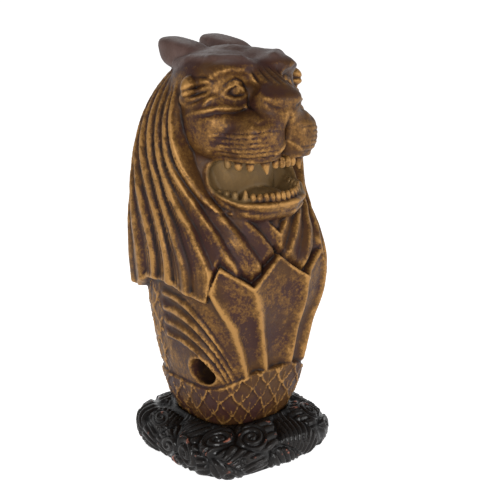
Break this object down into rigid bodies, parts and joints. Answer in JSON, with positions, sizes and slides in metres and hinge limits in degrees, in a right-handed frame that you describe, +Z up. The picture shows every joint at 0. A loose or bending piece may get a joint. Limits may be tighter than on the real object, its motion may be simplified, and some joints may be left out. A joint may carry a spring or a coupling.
{
  "type": "ship figurehead",
  "caption": "Carved gilt-wood figurehead of a roaring lion, its fluted mane falling over upright leaves, standing on a black wave-carved plinth.",
  "frame": {"origin": "centre of the plinth's underside", "axes": "+Z up, front of the figure along -Y, figure's right hand side along -X"},
  "size_m": [0.254, 0.2762, 0.6119],
  "materials": {
    "black_lacquer": "carved wood under glossy black lacquer, worn to bare reddish wood at its edges",
    "worn_gilding": "carved wood with worn gold leaf on its ridges over dark plum-brown ground"
  },
  "bodies": {
    "root": {"plinth": "black_lacquer", "figure": "worn_gilding"}
  },
  "joints": []
}
